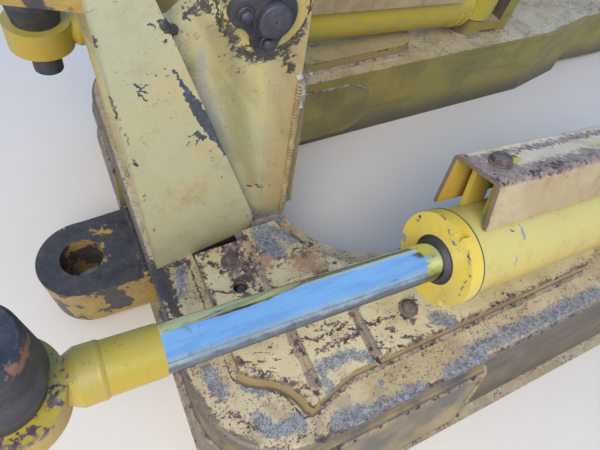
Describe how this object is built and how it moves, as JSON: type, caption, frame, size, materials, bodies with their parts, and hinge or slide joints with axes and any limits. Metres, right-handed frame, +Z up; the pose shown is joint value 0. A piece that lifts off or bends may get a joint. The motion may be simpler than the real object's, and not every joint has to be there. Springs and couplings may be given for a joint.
{
  "type": "crawler dozer blade push frame",
  "caption": "Welded U-shaped push frame that carries the blade of a crawler dozer, with a central tower and hydraulic angle cylinders under bolted guards.",
  "frame": {"origin": "centre of the footprint, at the bottom", "axes": "+X forward to the blade, +Y to the machine's left (the pictured side), +Z up"},
  "size_m": [1.8351, 0.976, 0.66],
  "materials": {
    "frame_paint": "faded pale yellow enamel, chipped and rusty at the edges",
    "cylinder_paint": "yellow enamel, dusty",
    "chrome_rod": "hard chrome, polished, with one dull ring",
    "pin_steel": "dark greasy steel",
    "seal_rubber": "black rubber, greasy"
  },
  "bodies": {
    "frame": {"cross_box": "frame_paint", "left_arm": "frame_paint", "right_arm": "frame_paint", "left_front_cover": "frame_paint", "right_front_cover": "frame_paint", "left_arm_cover": "frame_paint", "right_arm_cover": "frame_paint", "left_corner_guard": "frame_paint", "right_corner_guard": "frame_paint", "left_inner_plate": "frame_paint", "right_inner_plate": "frame_paint", "left_tower_post": "frame_paint", "right_tower_post": "frame_paint", "left_lift_ear": "frame_paint", "right_lift_ear": "frame_paint", "lift_pin": "pin_steel", "lift_pin_keeper": "pin_steel", "tower_rear_plate": "frame_paint", "tower_front_plate": "frame_paint", "upper_pivot_lug": "frame_paint", "lower_pivot_lug": "frame_paint", "left_pivot_head": "frame_paint", "right_pivot_head": "frame_paint", "left_pivot_bushing": "pin_steel", "right_pivot_bushing": "pin_steel", "left_anchor_bracket": "frame_paint", "right_anchor_bracket": "frame_paint", "left_anchor_pin": "pin_steel", "right_anchor_pin": "pin_steel"},
    "left_cylinder": {"left_barrel": "cylinder_paint", "left_tail_bushing": "pin_steel", "left_gland": "cylinder_paint", "left_wiper": "seal_rubber", "left_guard": "cylinder_paint", "left_guard_brackets": "cylinder_paint", "left_oil_pipe": "cylinder_paint"},
    "left_cylinder_rod": {"left_rod": "chrome_rod", "left_rod_eye": "cylinder_paint", "left_eye_bearing": "pin_steel", "left_eye_boot": "seal_rubber", "left_eye_pin": "pin_steel"},
    "right_cylinder": {"right_barrel": "cylinder_paint", "right_tail_bushing": "pin_steel", "right_gland": "cylinder_paint", "right_wiper": "seal_rubber", "right_guard": "cylinder_paint", "right_guard_brackets": "cylinder_paint", "right_oil_pipe": "cylinder_paint"},
    "right_cylinder_rod": {"right_rod": "chrome_rod", "right_rod_eye": "cylinder_paint", "right_eye_bearing": "pin_steel", "right_eye_boot": "seal_rubber", "right_eye_pin": "pin_steel"}
  },
  "joints": [
    {"name": "left_cylinder_swing", "type": "hinge", "parent": "frame", "child": "left_cylinder", "pos_m": [-0.19956, 0.305, 0.2655], "axis": [-0.1392, 0, 0.9903], "range_deg": [-8, 8]},
    {"name": "left_rod_slide", "type": "slide", "parent": "left_cylinder", "child": "left_cylinder_rod", "axis": [0.9903, 0, 0.1392], "range_m": [-0.32, 0.01]},
    {"name": "right_cylinder_swing", "type": "hinge", "parent": "frame", "child": "right_cylinder", "pos_m": [-0.19956, -0.305, 0.2655], "axis": [-0.0802, 0, 0.9968], "range_deg": [-8, 8]},
    {"name": "right_rod_slide", "type": "slide", "parent": "right_cylinder", "child": "right_cylinder_rod", "axis": [0.9968, 0, 0.0802], "range_m": [-0.214, 0.116]}
  ]
}
